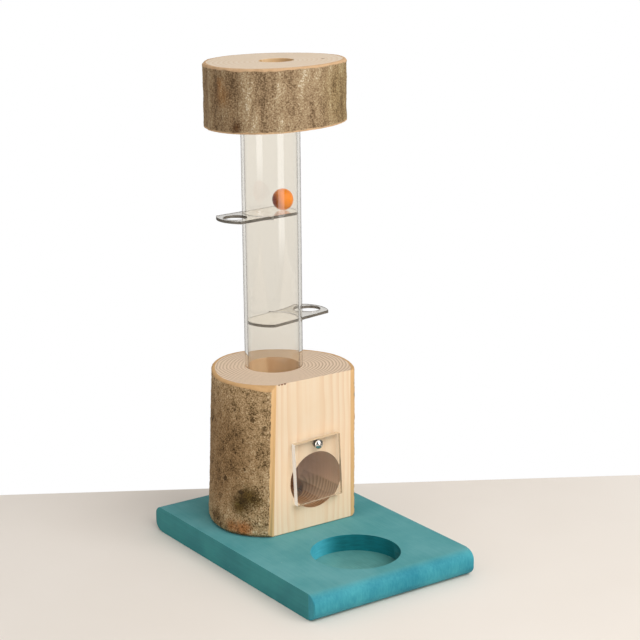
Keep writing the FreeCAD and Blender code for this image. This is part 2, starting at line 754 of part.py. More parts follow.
def make_flap_screw():
    """Domed cross-head screw: shank with a point in the wood, dome in front of the flap."""
    body = new_body("flap_screw")
    profile = new_sketch(body, "screw_profile", "XZ_Plane")
    shank = value("pivot_diameter") / 2
    head = value("head_diameter") / 2
    under = value("washer_thickness") + value("flap_thickness") + value("pivot_end_play")
    edge = under + value("head_edge")
    top = under + value("head_height")
    tip = -value("pivot_bite")
    cone = tip + value("pivot_diameter")
    dome = top - edge
    dome_radius = (head * head + dome * dome) / (2 * dome)
    dome_centre = Vector(0, top - dome_radius, 0)
    rim_angle = math.atan2(edge - dome_centre.y, head)
    axis_line = add_line(profile, (0, top), (0, tip))
    point_line = add_line(profile, (0, tip), (shank, cone))
    shank_line = add_line(profile, (shank, cone), (shank, under))
    under_line = add_line(profile, (shank, under), (head, under))
    edge_line = add_line(profile, (head, under), (head, edge))
    dome_circle = Part.Circle(dome_centre, Vector(0, 0, 1), dome_radius)
    dome_arc = profile.addGeometry(Part.ArcOfCircle(dome_circle, rim_angle, math.pi / 2))
    relate(profile, "Coincident", axis_line, 2, point_line, 1)
    relate(profile, "Coincident", point_line, 2, shank_line, 1)
    relate(profile, "Coincident", shank_line, 2, under_line, 1)
    relate(profile, "Coincident", under_line, 2, edge_line, 1)
    relate(profile, "Coincident", edge_line, 2, dome_arc, 1)
    relate(profile, "Coincident", dome_arc, 2, axis_line, 1)
    relate(profile, "PointOnObject", axis_line, 1, -2)
    relate(profile, "Vertical", axis_line)
    relate(profile, "Vertical", shank_line)
    relate(profile, "Horizontal", under_line)
    relate(profile, "Vertical", edge_line)
    relate(profile, "PointOnObject", dome_arc, 3, -2)
    stack = "Sizes.washer_thickness + Sizes.flap_thickness + Sizes.pivot_end_play"
    dimension(profile, "shank", "DistanceX", -1, 1, shank_line, 1, shank,
              formula="Sizes.pivot_diameter / 2")
    dimension(profile, "head", "DistanceX", -1, 1, edge_line, 1, head,
              formula="Sizes.head_diameter / 2")
    dimension(profile, "under", "DistanceY", -1, 1, under_line, 1, under, formula=stack)
    dimension(profile, "edge", "DistanceY", edge_line, 1, edge_line, 2, edge - under,
              formula="Sizes.head_edge")
    dimension(profile, "top", "DistanceY", -1, 1, axis_line, 1, top,
              formula=f"{stack} + Sizes.head_height")
    dimension(profile, "tip", "DistanceY", axis_line, 2, -1, 1, -tip, formula="Sizes.pivot_bite")
    dimension(profile, "cone", "DistanceY", point_line, 1, point_line, 2, cone - tip,
              formula="Sizes.pivot_diameter")
    turned = body.newObject("PartDesign::Revolution", "turned_screw")
    turned.Profile = profile
    turned.ReferenceAxis = (profile, ["V_Axis"])
    turned.Angle = 360
    doc.recompute()

    for arm, angle in (("first", 0), ("second", 90)):
        cross = new_sketch(body, f"{arm}_recess_plan", "XY_Plane")
        cross.AttachmentOffset = Placement(Vector(), Rotation(Vector(0, 0, 1), angle))
        bind(cross, AttachmentOffset__Base__z=f"{stack} + Sizes.head_height")
        half_span = value("recess_span") / 2
        half_width = value("recess_width") / 2
        rectangle(
            cross,
            "arm",
            (-half_span, "-Sizes.recess_span / 2"),
            (-half_width, "-Sizes.recess_width / 2"),
            (half_span, "Sizes.recess_span / 2"),
            (half_width, "Sizes.recess_width / 2"),
        )
        must_cut(body, pocket(body, cross, f"{arm}_recess", "Sizes.recess_depth"))
    stand_on_flat(body, "0")
    return body


def make_base_screws():
    """Four countersunk wood screws, up through the board into the log."""
    screws = []
    for name, x, y in base_screw_places():
        place = {"Placement__Base__x": x, "Placement__Base__y": y}
        head = primitive(
            "Cone",
            f"screw_head_{name}",
            Radius1="Sizes.base_screw_head / 2",
            Radius2="Sizes.base_screw_diameter / 2",
            Height="Radius1 - Radius2",
            Placement__Base__z="Sizes.base_screw_sink",
            **place,
        )
        shank = primitive(
            "Cylinder",
            f"screw_shank_{name}",
            Radius="Sizes.base_screw_diameter / 2",
            Height="Sizes.base_screw_length - Sizes.base_screw_point",
            Placement__Base__z="Sizes.base_screw_sink",
            **place,
        )
        point = primitive(
            "Cone",
            f"screw_point_{name}",
            Radius1="Sizes.base_screw_diameter / 2",
            Radius2="0.2",
            Height="Sizes.base_screw_point",
            Placement__Base__z="Sizes.base_screw_sink + Sizes.base_screw_length"
            " - Sizes.base_screw_point",
            **place,
        )
        screw = doc.addObject("Part::MultiFuse", f"screw_{name}")
        screw.Shapes = [head, shank, point]
        screws.append(screw)
    group = doc.addObject("Part::Compound", "base_screws")
    group.Label = "base_screws"
    group.Links = screws
    return group


nodes = [make_base_board()]
nodes += make_stump()
nodes.append(make_tube())
nodes.append(make_slide("upper", UPPER_SLIDE_Z))
nodes.append(make_slide("lower", LOWER_SLIDE_Z))
nodes += make_block()
nodes.append(make_treat_ball())
nodes.append(make_flap())
nodes.append(make_flap_washer())
nodes.append(make_flap_screw())
nodes.append(make_base_screws())
doc.recompute()

for thing in doc.Objects:
    if "Invalid" in thing.State or "Error" in thing.State:
        raise RuntimeError(f"{thing.Label} did not build: {thing.State}")
for node in nodes:
    if node.Shape.isNull() or not node.Shape.isValid():
        raise RuntimeError(f"{node.Label} has no valid shape")

os.makedirs("parts", exist_ok=True)
for node in nodes:
    node.Shape.exportStep(os.path.join("parts", f"{node.Label}.step"))
    box = node.Shape.BoundBox
    print(
        f"{node.Label}: solids {len(node.Shape.Solids)}, volume {node.Shape.Volume:.0f},"
        f" X {box.XMin:.2f} to {box.XMax:.2f}, Y {box.YMin:.2f} to {box.YMax:.2f},"
        f" Z {box.ZMin:.2f} to {box.ZMax:.2f}"
    )
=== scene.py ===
import math
import bmesh
import bpy
from mathutils import Matrix, Vector, noise


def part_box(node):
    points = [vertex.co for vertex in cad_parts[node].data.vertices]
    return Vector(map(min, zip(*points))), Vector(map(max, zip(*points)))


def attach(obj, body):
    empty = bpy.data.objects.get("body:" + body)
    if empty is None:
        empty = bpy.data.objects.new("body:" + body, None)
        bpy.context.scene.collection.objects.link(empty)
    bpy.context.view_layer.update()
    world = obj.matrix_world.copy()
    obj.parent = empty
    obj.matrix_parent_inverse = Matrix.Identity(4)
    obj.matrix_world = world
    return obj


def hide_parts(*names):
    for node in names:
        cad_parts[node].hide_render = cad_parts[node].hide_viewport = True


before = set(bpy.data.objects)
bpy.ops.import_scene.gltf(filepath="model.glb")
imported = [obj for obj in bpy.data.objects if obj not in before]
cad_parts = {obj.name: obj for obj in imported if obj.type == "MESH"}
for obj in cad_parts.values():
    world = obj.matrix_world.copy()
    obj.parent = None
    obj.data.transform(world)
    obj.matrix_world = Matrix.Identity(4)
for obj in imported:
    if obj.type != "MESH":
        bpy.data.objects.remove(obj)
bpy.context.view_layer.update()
scene = bpy.context.scene

# Studio: white walls, one broad soft lamp in front on the right, and two tall soft boxes that show
# only in gloss. The camera stands in front on the left and looks a little down.


def colour(hex_code):
    """An sRGB hex colour as linear RGBA."""
    parts = [int(hex_code[i : i + 2], 16) / 255 for i in (1, 3, 5)]
    linear = [p / 12.92 if p <= 0.04045 else ((p + 0.055) / 1.055) ** 2.4 for p in parts]
    return (*linear, 1.0)


def feed(tree, socket, source):
    """Feed an input from a node's first live output, a socket, a hex colour or a value."""
    if isinstance(source, bpy.types.Node):
        source = next(output for output in source.outputs if output.enabled)
    if isinstance(source, bpy.types.NodeSocket):
        tree.links.new(source, socket)
    elif isinstance(source, str):
        socket.default_value = colour(source)
    else:
        socket.default_value = source


def add(tree, kind, inputs=(), stops=(), **settings):
    """Add a node with its settings, its links and, on a colour ramp, its stops."""
    node = tree.nodes.new(kind)
    for name, setting in settings.items():
        setattr(node, name, setting)
    for key, source in dict(inputs).items():
        feed(tree, node.inputs[key], source)
    for index, (place, hex_code) in enumerate(stops):
        elements = node.color_ramp.elements
        stop = elements[index] if index < 2 else elements.new(place)
        stop.position = place
        stop.color = colour(hex_code)
    return node


camera_data = bpy.data.cameras.new("camera")
camera_data.lens = 96.52
camera_data.sensor_width = 36
camera = bpy.data.objects.new("camera", camera_data)
scene.collection.objects.link(camera)
camera_place = Vector((-0.9353, -1.3682, 0.6857))
camera_aim = Vector((0.0108, -0.0073, 0.2474))
camera_roll = -0.0082
look = (camera_aim - camera_place).to_track_quat("-Z", "Y").to_matrix()
camera.rotation_euler = (look @ Matrix.Rotation(camera_roll, 3, "Z")).to_euler()
camera.location = camera_place
scene.camera = camera
scene.view_settings.view_transform = "Standard"

key_place = Vector((0.25, -1.55, 1.6))
key_aim = Vector((0, 0, 0.2))
key_data = bpy.data.lights.new("key_lamp", "AREA")
key_data.shape = "RECTANGLE"
key_data.size = 1.8
key_data.size_y = 1.4
key_data.energy = 31
key_lamp = bpy.data.objects.new("key_lamp", key_data)
scene.collection.objects.link(key_lamp)
key_lamp.location = key_place
key_lamp.rotation_euler = (key_aim - key_place).to_track_quat("-Z", "Y").to_euler()

fill_level = 0.62
sweep_level_low = 0.86
gloss_level = 0.15
box_level = 3.4

# Each soft box is the way to it and the height, on a unit sphere, at which it begins.
box_feet = ((Vector((-0.975, -0.221, 0)), -0.172), (Vector((0.093, -0.995, 0)), -0.215))
box_half_width = math.cos(math.radians(15))
box_edge = math.cos(math.radians(9))
box_blur = 0.015

# Seen through acrylic, the white darkens a little downwards between these two heights.
sweep_low = -0.28
sweep_high = -0.16

world = bpy.data.worlds.new("white_studio")
scene.world = world
world.use_nodes = True
tree = world.node_tree
tree.nodes.clear()
path = add(tree, "ShaderNodeLightPath")
way = add(tree, "ShaderNodeTexCoord").outputs["Generated"]
height = add(tree, "ShaderNodeSeparateXYZ", {"Vector": way}).outputs["Z"]
level_way = add(tree, "ShaderNodeVectorMath", {0: way, 1: (1, 1, 0)}, operation="MULTIPLY")
level_way = add(tree, "ShaderNodeVectorMath", {0: level_way}, operation="NORMALIZE")
gloss = gloss_level
for box_way, box_foot in box_feet:
    facing = add(
        tree,
        "ShaderNodeVectorMath",
        {0: level_way, 1: box_way.normalized()},
        operation="DOT_PRODUCT",
    )
    across = add(
        tree,
        "ShaderNodeMapRange",
        {"Value": facing, "From Min": box_half_width, "From Max": box_edge, "To Max": box_level},
        interpolation_type="SMOOTHSTEP",
    )
    above = add(
        tree,
        "ShaderNodeMapRange",
        {"Value": height, "From Min": box_foot - box_blur, "From Max": box_foot + box_blur},
        interpolation_type="SMOOTHSTEP",
    )
    gloss = add(tree, "ShaderNodeMath", {0: across, 1: above, 2: gloss}, operation="MULTIPLY_ADD")
sweep = add(
    tree,
    "ShaderNodeMapRange",
    {
        "Value": height,
        "From Min": sweep_low,
        "From Max": sweep_high,
        "To Min": sweep_level_low,
    },
)
seen = add(
    tree,
    "ShaderNodeMix",
    {"Factor": path.outputs["Is Glossy Ray"], "A": fill_level, "B": gloss},
)
seen = add(
    tree, "ShaderNodeMix", {"Factor": path.outputs["Is Transmission Ray"], "A": seen, "B": sweep}
)
seen = add(tree, "ShaderNodeMix", {"Factor": path.outputs["Is Camera Ray"], "A": seen, "B": 1.0})
sky = add(tree, "ShaderNodeBackground", {"Color": "#FFFFFF", "Strength": seen})
add(tree, "ShaderNodeOutputWorld", {"Surface": sky})

# Table: the slab that the toy stands on, limewashed and pale. Its far edge runs level across the
# view, close behind the board.

table_edge = (Vector((-0.188, 0.340, 0)), Vector((0.428, -0.030, 0)))
table_length = 2.4
table_depth = 1.1
table_thickness = 0.03
edge_way = (table_edge[1] - table_edge[0]).normalized()
near_way = Vector((edge_way.y, -edge_way.x, 0))
edge_middle = (table_edge[0] + table_edge[1]) / 2
table = bmesh.new()
bmesh.ops.create_cube(table, size=1)
bmesh.ops.scale(table, verts=table.verts[:], vec=(table_length, table_depth, table_thickness))
bmesh.ops.rotate(
    table, verts=table.verts[:], matrix=Matrix.Rotation(math.atan2(edge_way.y, edge_way.x), 3, "Z")
)
bmesh.ops.translate(
    table,
    verts=table.verts[:],
    vec=edge_middle + near_way * table_depth / 2 - Vector((0, 0, table_thickness / 2)),
)

# Limewash is matt and chalky. The brush leaves it a little uneven over a few hands' widths.
brushed_mm = 300
limewash = bpy.data.materials.new("limewash on a table top")
limewash.use_nodes = True
tree = limewash.node_tree
tree.nodes["Principled BSDF"].inputs["Roughness"].default_value = 0.8
place = add(tree, "ShaderNodeTexCoord").outputs["Object"]
brushed = add(
    tree, "ShaderNodeTexNoise", {"Vector": place, "Scale": 1000 / brushed_mm, "Detail": 3.0}
)
wash = add(tree, "ShaderNodeMix", {0: brushed, "A": "#E4DACE", "B": "#F0E8DF"}, data_type="RGBA")
feed(tree, tree.nodes["Principled BSDF"].inputs["Base Color"], wash)
table_mesh = bpy.data.meshes.new("table_top")
table.to_mesh(table_mesh)
table.free()
table_mesh.materials.append(limewash)
table_top = bpy.data.objects.new("table_top", table_mesh)
scene.collection.objects.link(table_top)

# Base board: one softwood board with its ends rolled over, planed, bored for the treat dish and
# stained teal all over. The stain lies thin on the open face, and deep on edges and end grain.

weld_distance = 2e-6
cut_distance = 1e-7
flat_angle = math.radians(0.3)


def copy_of_node(node):
    """A merged copy of a CAD node's mesh, its flat faces made whole again."""
    shape = bmesh.new()
    shape.from_mesh(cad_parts[node].data)
    bmesh.ops.remove_doubles(shape, verts=shape.verts[:], dist=weld_distance)
    bmesh.ops.dissolve_limit(
        shape, angle_limit=flat_angle, verts=shape.verts[:], edges=shape.edges[:]
    )
    return shape


def soften(shape, width, least_angle, chosen=None, segments=2):
    """Break the outward arrises that are sharper than an angle."""
    shape.normal_update()
    sharp = [
        edge
        for edge in shape.edges
        if len(edge.link_faces) == 2
        and edge.is_convex
        and edge.calc_face_angle() > math.radians(least_angle)
        and (chosen is None or chosen((edge.verts[0].co + edge.verts[1].co) / 2))
    ]
    bmesh.ops.bevel(
        shape,
        geom=sharp,
        offset=width,
        offset_type="OFFSET",
        affect="EDGES",
        segments=segments,
        profile=0.5,
        clamp_overlap=True,
        material=-1,
    )


def keep_piece(shape, name, finishes, body, stands_for, sharp_above=35, even=True):
    """Turn a finished bmesh into a named piece that rides on its body."""
    mesh = bpy.data.meshes.new(name)
    shape.to_mesh(mesh)
    shape.free()
    for finish in finishes:
        mesh.materials.append(finish)
    mesh.polygons.foreach_set("use_smooth", [True] * len(mesh.polygons))
    mesh.set_sharp_from_angle(angle=math.radians(sharp_above))
    piece = bpy.data.objects.new(name, mesh)
    scene.collection.objects.link(piece)
    if even:
        weigh = piece.modifiers.new("even_shading", "WEIGHTED_NORMAL")
        weigh.keep_sharp = True
    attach(piece, body)
    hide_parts(stands_for)


def new_finish(name, **values):
    """A named material, its shader set to plain values, with its tree and object coordinates."""
    finish = bpy.data.materials.new(name)
    finish.use_nodes = True
    tree = finish.node_tree
    for socket, value in values.items():
        tree.nodes["Principled BSDF"].inputs[socket.replace("_", " ")].default_value = value
    return finish, tree, add(tree, "ShaderNodeTexCoord").outputs["Object"]


def dress(tree, base, height, depth):
    """Give a finish its colour, and its relief from a height field that is depth metres deep."""
    shader = tree.nodes["Principled BSDF"]
    relief = add(tree, "ShaderNodeBump", {"Height": height, "Distance": depth})
    feed(tree, shader.inputs["Base Color"], base)
    feed(tree, shader.inputs["Normal"], relief)


def stain(name, first, second, axis, start, end, mirrored=False):
    """Teal wood stain: matt, streaked along the fibres, clouded where the wood drank more of it.

    first and second are each a thin tone, a deep tone, the fibre's size in mm along X, Y and Z,
    and its relief. One goes over to the other between two places on an axis. Real fibres are too
    fine to show, so they are drawn a millimetre or two wide.
    """
    cloud_mm = 38
    lint_mm = 16
    fibre_share = 0.6
    finish, tree, place = new_finish(name, Roughness=0.62, Specular_IOR_Level=0.3)
    reach = add(tree, "ShaderNodeSeparateXYZ", {"Vector": place}).outputs[axis]
    if mirrored:
        reach = add(tree, "ShaderNodeMath", {0: reach}, operation="ABSOLUTE")
    share = add(
        tree,
        "ShaderNodeMapRange",
        {"Value": reach, "From Min": start, "From Max": end},
        interpolation_type="SMOOTHSTEP",
    )
    cloud = add(
        tree, "ShaderNodeTexNoise", {"Vector": place, "Scale": 1000 / cloud_mm, "Detail": 3.0}
    )
    tones = []
    heights = []
    for thin, deep, fibre_mm, depth in (first, second):
        along = add(
            tree,
            "ShaderNodeMapping",
            {"Vector": place, "Scale": tuple(1000 / size for size in fibre_mm)},
        )
        fibres = add(
            tree,
            "ShaderNodeTexNoise",
            {"Vector": along, "Scale": 1.0, "Detail": 5.0, "Roughness": 0.65},
        )
        drunk = add(
            tree, "ShaderNodeMath", {0: fibres, 1: fibre_share, 2: cloud}, operation="MULTIPLY_ADD"
        )
        tones.append(
            add(tree, "ShaderNodeValToRGB", {"Fac": drunk}, stops=[(0.62, thin), (1.0, deep)])
        )
        heights.append(add(tree, "ShaderNodeMath", {0: fibres, 1: depth}, operation="MULTIPLY"))
    tone = add(
        tree, "ShaderNodeMix", {"Factor": share, "A": tones[0], "B": tones[1]}, data_type="RGBA"
    )
    height = add(tree, "ShaderNodeMix", {"Factor": share, "A": heights[0], "B": heights[1]})
    cells = add(tree, "ShaderNodeTexVoronoi", {"Vector": place, "Scale": 1000 / lint_mm})
    lint = add(
        tree,
        "ShaderNodeMapRange",
        {"Value": cells, "From Min": 0.018, "From Max": 0.032, "To Min": 0.5, "To Max": 0.0},
    )
    dusted = add(
        tree, "ShaderNodeMix", {"Factor": lint, "A": tone, "B": "#C9DAD6"}, data_type="RGBA"
    )
    dress(tree, dusted, height, 1.0)
    return finish


# Each grain is a thin tone, a deep tone, the fibre's size in mm and its relief.
long_grain = ("#60A1A4", "#4B9497", (1.2, 34, 1.2), 0.00008)
sawn_grain = ("#358C8D", "#2A7C80", (2, 40, 1.5), 0.00015)
end_grain = ("#429EA9", "#218092", (2.2, 2.2, 8), 0.0003)

# Stain on planed long grain shows fine streaks along the board, matt and a little grey. Towards
# both rolled ends it goes over to end grain, which drinks unevenly and looks brushed upright.
board_stain = stain(
    "teal stain on planed softwood", long_grain, end_grain, "Y", 0.1385, 0.1475, mirrored=True
)

# Sawn edges are rougher and drink deep, so they are darker. Only the near end shows end grain.
edge_stain = stain(
    "teal stain on sawn softwood edges", sawn_grain, end_grain, "Y", -0.1388, -0.1402
)

# On the dish's wall the bit has left turning marks. Light and shade are painted across it: its left
# part is pale, as lit, and its right part deep teal, as shaded.
wall_stain_lit_and_shaded = stain(
    "teal stain on the bored wall, painted lit and shaded",
    ("#5AC4D6", "#3AA5B6", (14, 14, 1.6), 0.0003),
    ("#0C8089", "#026268", (14, 14, 1.6), 0.0003),
    "X",
    -0.026,
    0.016,
)

# The dish's floor is matt long grain like the open face. Towards its right side it is painted
# darker, as the shadow of the rim.
floor_stain_and_shadow = stain(
    "teal stain on the dish floor, with painted shadow",
    ("#62A19E", "#4F8B88", (1.2, 34, 1.2), 0.00008),
    ("#4F8E8B", "#3F7A77", (1.2, 34, 1.2), 0.00008),
    "X",
    0.0,
    0.040,
)

board_low, board_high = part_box("base_board")
dish_middle = Vector((0, -0.0815, 0))
dish_radius = 0.045
nose_radius = 0.0125
nose_corner = 0.0025
nose_steps = 12
nose_start = board_high.y - nose_radius
nose_soft = 0.0016
edge_soft = 0.0008
dish_reach = dish_radius + 0.0003
dish_rim_depth = 0.0012
board_middle_z = (board_low.z + board_high.z) / 2
board_half_width = (board_high.x - board_low.x) / 2
board_half_height = (board_high.z - board_low.z) / 2

# Each end is cut off square, and grown again as a rolled nose that narrows at its corners.
board = copy_of_node("base_board")
for end in (-1, 1):
    cut = bmesh.ops.bisect_plane(
        board,
        geom=board.verts[:] + board.edges[:] + board.faces[:],
        dist=cut_distance,
        plane_co=(0, end * nose_start, 0),
        plane_no=(0, end, 0),
        clear_outer=True,
    )
    rim = [item for item in cut["geom_cut"] if isinstance(item, bmesh.types.BMEdge)]
    cap = bmesh.ops.holes_fill(board, edges=rim, sides=0)["faces"][0]
    for step in range(1, nose_steps + 1):
        turn = math.radians(90) * step / nose_steps
        out = nose_radius * math.sin(turn)
        height = board_half_height - nose_radius * (1 - math.cos(turn))
        past = max(0.0, out - (nose_radius - nose_corner))
        width = board_half_width - nose_corner + math.sqrt(max(0.0, nose_corner**2 - past**2))
        cap = bmesh.ops.extrude_discrete_faces(board, faces=[cap])["faces"][0]
        for vert in cap.verts:
            vert.co.x = math.copysign(width, vert.co.x)
            vert.co.y = end * (nose_start + out)
            vert.co.z = board_middle_z + math.copysign(height, vert.co.z - board_middle_z)
bmesh.ops.remove_doubles(board, verts=board.verts[:], dist=weld_distance)
bmesh.ops.recalc_face_normals(board, faces=board.faces[:])


def on_a_nose(place):
    return abs(place.y) > nose_start


def off_the_noses(place):
    return not on_a_nose(place)


soften(board, nose_soft, 50, on_a_nose, segments=4)
soften(board, edge_soft, 50, off_the_noses, segments=3)
board_finishes = [board_stain, edge_stain, wall_stain_lit_and_shaded, floor_stain_and_shadow]
for face in board.faces:
    middle = face.calc_center_median()
    in_dish = (middle - dish_middle).to_2d().length < dish_reach
    finish = board_stain
    if in_dish and middle.z < board_high.z - dish_rim_depth:
        finish = floor_stain_and_shadow if face.normal.z > 0.7 else wall_stain_lit_and_shaded
    elif abs(face.normal.x) > 0.8:
        finish = edge_stain
    face.material_index = board_finishes.index(finish)
keep_piece(
    board,
    "board",
    board_finishes,
    "stand",
    "base_board",
)

# Stump log: a length of young trunk, bored for the tube and the window, its front planed flat
# and left raw. Growth rings show on the sawn top and as broad upright stripes on the flat.

pith = Vector((0.002, 0.058, 0))
stump_ring_mm = 3.4


def spotted(tree, base, place, spots):
    """Tint round spots on a colour; each has a centre, a radius, a soft edge and a tint."""
    for centre, radius, edge, tint in spots:
        away = add(tree, "ShaderNodeVectorMath", {0: place, 1: centre}, operation="DISTANCE")
        share = add(
            tree,
            "ShaderNodeMapRange",
            {
                "Value": away,
                "From Min": radius,
                "From Max": radius + edge,
                "To Min": 1.0,
                "To Max": 0.0,
            },
            interpolation_type="SMOOTHSTEP",
        )
        base = add(
            tree,
            "ShaderNodeMix",
            {"Factor": share, "A": base, "B": tint},
            data_type="RGBA",
            blend_type="MULTIPLY",
        )
    return base


def raw_wood(name, early, late, tint, ring_mm, fibre_mm, roughness, depth, spots=()):
    """Pale raw wood: its growth rings round the pith, fine fibres and a soft cloud of tint.

    early and late are the tones of a ring's two seasons. Real fibres are too fine to show, so
    they are drawn at fibre_mm, a size in mm along X, Y and Z.
    """
    wobble_mm = 45
    wobble_depth = 0.009
    cloud_mm = 45
    finish, tree, place = new_finish(name, Roughness=roughness, Specular_IOR_Level=0.3)
    flat = add(
        tree, "ShaderNodeMapping", {"Vector": place, "Location": -pith, "Scale": (1, 1, 0)}
    )
    radius = add(tree, "ShaderNodeVectorMath", {0: flat}, operation="LENGTH")
    grown = add(tree, "ShaderNodeMapping", {"Vector": place, "Scale": (1, 1, 0.25)})
    wobble = add(
        tree, "ShaderNodeTexNoise", {"Vector": grown, "Scale": 1000 / wobble_mm, "Detail": 2.0}
    )
    wobbled = add(
        tree, "ShaderNodeMath", {0: wobble, 1: wobble_depth, 2: radius}, operation="MULTIPLY_ADD"
    )
    turns = add(tree, "ShaderNodeMath", {0: wobbled, 1: 1000 / ring_mm}, operation="MULTIPLY")
    share = add(tree, "ShaderNodeMath", {0: turns}, operation="FRACT")
    ringed = add(
        tree,
        "ShaderNodeValToRGB",
        {"Fac": share},
        stops=[(0.0, early), (0.35, early), (0.85, late), (0.94, late), (1.0, early)],
    )
    along = add(
        tree,
        "ShaderNodeMapping",
        {"Vector": place, "Scale": tuple(1000 / size for size in fibre_mm)},
    )
    fibres = add(
        tree, "ShaderNodeTexNoise", {"Vector": along, "Scale": 1.0, "Detail": 4.0, "Roughness": 0.6}
    )
    cloud = add(
        tree, "ShaderNodeTexNoise", {"Vector": place, "Scale": 1000 / cloud_mm, "Detail": 3.0}
    )
    tinted = add(tree, "ShaderNodeMath", {0: fibres, 1: cloud}, operation="MULTIPLY")
    tinted = add(
        tree,
        "ShaderNodeMapRange",
        {"Value": tinted, "From Min": 0.14, "From Max": 0.42, "To Max": 0.8},
    )
    wood = add(
        tree, "ShaderNodeMix", {"Factor": tinted, "A": ringed, "B": tint}, data_type="RGBA"
    )
    dress(tree, spotted(tree, wood, place, spots), fibres, depth)
    return finish


# Three short tears in the upper edge of the planed front, each a centre, a radius, a soft edge
# and a tint.
torn_fibres = [
    (Vector((-0.036, -0.0028, 0.1868)), 0.0004, 0.0012, "#7A4A2C"),
    (Vector((-0.0325, -0.0030, 0.1872)), 0.0009, 0.0012, "#8A5232"),
    (Vector((-0.029, -0.0026, 0.1869)), 0.0006, 0.0012, "#7A4A2C"),
]

# Planed long grain is pale with a faint satin. A faint cool tint is painted on its upper part, as
# painted light.
planed_flat = raw_wood(
    "young trunk wood, planed",
    "#FADFC0",
    "#F3CFAA",
    "#F6D4AE",
    stump_ring_mm,
    (2.2, 2.2, 150),
    0.5,
    0.00004,
    # The last spot is a painted cool light on the upper part of the flat.
    [*torn_fibres, (Vector((-0.010, -0.0025, 0.187)), 0.040, 0.090, "#F2F5F6")],
)

# A saw leaves end grain dull and furry, so its rings stand out dark.
sawn_top = raw_wood(
    "young trunk wood, sawn across",
    "#E6D0B7",
    "#A98A6D",
    "#D9BFA3",
    stump_ring_mm,
    (1.5, 1.5, 1.5),
    0.7,
    0.00008,
    torn_fibres,
)

# The tube's bore runs along the grain. Its wall is warm, and dull from the bit.
tube_bore = raw_wood(
    "young trunk wood, bored for the tube",
    "#FBD8AE",
    "#DDAE7E",
    "#ECC297",
    stump_ring_mm,
    (10, 10, 60),
    0.65,
    0.0002,
)

# Low in the window's bore the bit went across the rings, so they show darker on a dull wall.
window_bore = raw_wood(
    "young trunk wood, bored for the window",
    "#D6B490",
    "#A98669",
    "#BC9678",
    stump_ring_mm,
    (10, 60, 10),
    0.65,
    0.0002,
)

# Higher up, and round the chamber, the cut is cleaner and the rings hardly show.
chamber_wall = raw_wood(
    "young trunk wood, bored smooth in the chamber",
    "#DBB591",
    "#D3AD8A",
    "#C8A280",
    stump_ring_mm,
    (10, 10, 60),
    0.65,
    0.0002,
)

# The chamber's floor and the lowest strip of the window's bore are torn end grain, the darkest
# and roughest of the cuts.
chamber_floor = raw_wood(
    "young trunk end grain, cut by the bit in the chamber",
    "#CFA47C",
    "#80593F",
    "#AE8862",
    stump_ring_mm,
    (3, 3, 3),
    0.75,
    0.0003,
)

flat_y = -0.0025
stump_low, stump_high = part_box("stump_wood")
bore_middle = Vector((0, 0.0615, 0))
bore_reach = 0.044
level_slope = 0.9
ringed_slope = 0.4
window_top_z = 0.112
foot_soft = 0.0014
rim_soft = 0.0004
edge_reach = 0.0005
face_reach = 0.0003


def at_foot_of_flat(place):
    return place.y < flat_y + edge_reach and place.z < stump_low.z + edge_reach


def at_bores_or_flat(place):
    near_bore = (place - bore_middle).to_2d().length < bore_reach
    return near_bore or (place.y < flat_y + edge_reach and not at_foot_of_flat(place))


log = copy_of_node("stump_wood")
soften(log, foot_soft, 50, at_foot_of_flat, segments=3)
soften(log, rim_soft, 50, at_bores_or_flat)
log_finishes = [planed_flat, sawn_top, tube_bore, window_bore, chamber_wall, chamber_floor]
for face in log.faces:
    middle = face.calc_center_median()
    if middle.y < flat_y + face_reach:
        finish = planed_flat
    elif middle.z > stump_high.z - face_reach:
        finish = sawn_top
    elif middle.z > window_top_z:
        finish = tube_bore
    elif face.normal.z > level_slope:
        finish = chamber_floor
    elif face.normal.z > ringed_slope:
        finish = window_bore
    else:
        finish = chamber_wall
    face.material_index = log_finishes.index(finish)
keep_piece(
    log,
    "stump_log",
    log_finishes,
    "stand",
    "stump_wood",
)

# Stump bark: the log's own bark, 4 mm thick. It is left on round the back and sides, its upper
# arris is shaved to the tan inner bark, and planing the front has cut it off clean.

bark_thickness = 0.004
soft_edge = 0.0015
seam_distance = 1e-6


def lobed_radius(angle, mean, lobes):
    """Radius of a natural outline: a circle with a few broad lobes."""
    return mean + sum(
        amount * math.cos(count * (angle - math.radians(first))) for count, amount, first in lobes
    )


def bumps(place, size_mm, height):
    """Smooth random bumps of a size in mm and a height in metres."""
    return noise.noise(place * 1000 / size_mm) * height


def bark_ring(columns, rows, outline, relief, shaving):
    """A closed ring of bark: a fine skin with its relief outside, and a plain wall inside.

    outline(angle, share, inset) is a place on the trunk at a share of its height, relief(place)
    is how far the skin stands out there, and shaving(angle, share) is how deep a blade went in.
    The shaved attribute is 1 where inner bark shows, and stand_out keeps the relief.
    """
    ring = bmesh.new()
    bmesh.ops.create_grid(ring, x_segments=columns, y_segments=rows + 3, size=0.5)
    shaved = ring.verts.layers.float.new("shaved")
    stand_out = ring.verts.layers.float.new("stand_out")
    for vert in ring.verts:
        angle = math.tau * (vert.co.x + 0.5)
        row = round((vert.co.y + 0.5) * (rows + 3)) % (rows + 3)
        if row > rows:
            vert[shaved] = 1.0
            vert.co = outline(angle, rows + 2 - row, bark_thickness)
            continue
        lift = relief(outline(angle, row / rows, 0))
        depth = shaving(angle, row / rows)
        vert[shaved] = min(1.0, max(0.0, 1 + depth / soft_edge))
        vert[stand_out] = lift
        vert.co = outline(angle, row / rows, max(-lift, depth))
    bmesh.ops.remove_doubles(ring, verts=ring.verts[:], dist=seam_distance)
    bmesh.ops.recalc_face_normals(ring, faces=ring.faces[:])
    return ring


